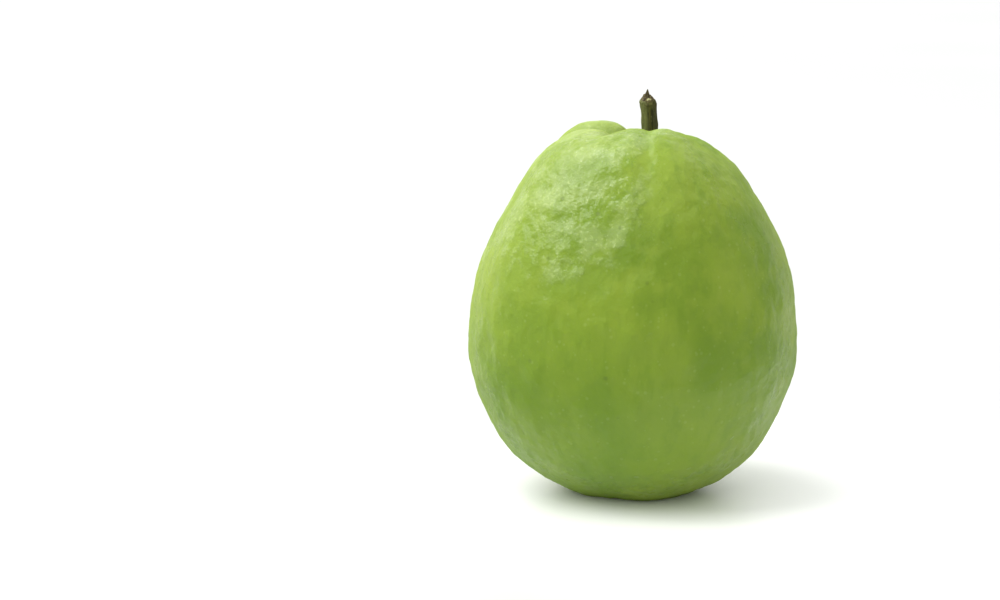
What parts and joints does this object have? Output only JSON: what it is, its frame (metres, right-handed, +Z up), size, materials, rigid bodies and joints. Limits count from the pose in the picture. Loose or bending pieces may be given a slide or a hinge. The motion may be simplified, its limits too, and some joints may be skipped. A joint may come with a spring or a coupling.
{
  "type": "guava",
  "caption": "Whole green guava standing on its blossom end, a broad-based pear shape with soft lobes meeting at a short woody stem.",
  "frame": {"origin": "middle of the fruit's outline on the plane it stands on", "axes": "+Z up along the fruit towards its stem, -Y towards the front as pictured, +X to its right"},
  "size_m": [0.0922, 0.0898, 0.1137],
  "materials": {
    "skin": "waxy satin fruit skin, mottled yellow-green with pale dots",
    "stem_bark": "dull olive-brown bark with a torn fibrous end",
    "dried_calyx": "dry, papery brown"
  },
  "bodies": {
    "root": {"fruit": "skin", "stem": "stem_bark", "calyx": "dried_calyx"}
  },
  "joints": []
}
